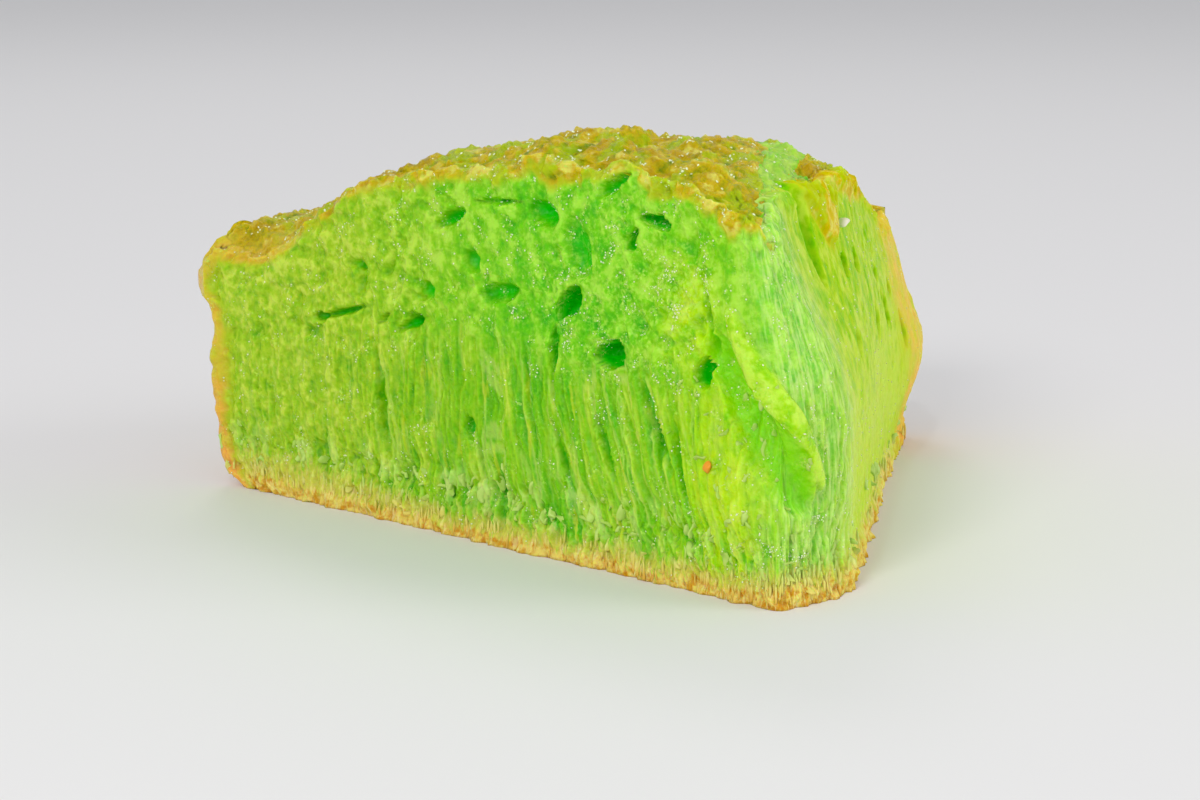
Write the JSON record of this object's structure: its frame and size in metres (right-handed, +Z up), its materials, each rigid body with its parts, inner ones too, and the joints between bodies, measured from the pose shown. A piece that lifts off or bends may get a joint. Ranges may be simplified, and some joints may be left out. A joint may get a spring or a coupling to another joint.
{
  "type": "vietnamese honeycomb cake",
  "caption": "Wedge slice of green pandan cake with a browned top and foot, cut faces full of upright steam tunnels and round pits, and a torn blunt tip.",
  "frame": {"origin": "middle of the slice's bounding box in plan, at the height of its base", "axes": "+Z up, the tip of the slice towards -Y and the round outer wall towards +Y"},
  "size_m": [0.112, 0.1134, 0.0551],
  "materials": {
    "crumb": "moist, springy, slightly glossy green crumb with a thin orange-gold to brown crust on top, base and outer wall"
  },
  "bodies": {
    "root": {"honeycomb_cake": "crumb"}
  },
  "joints": []
}
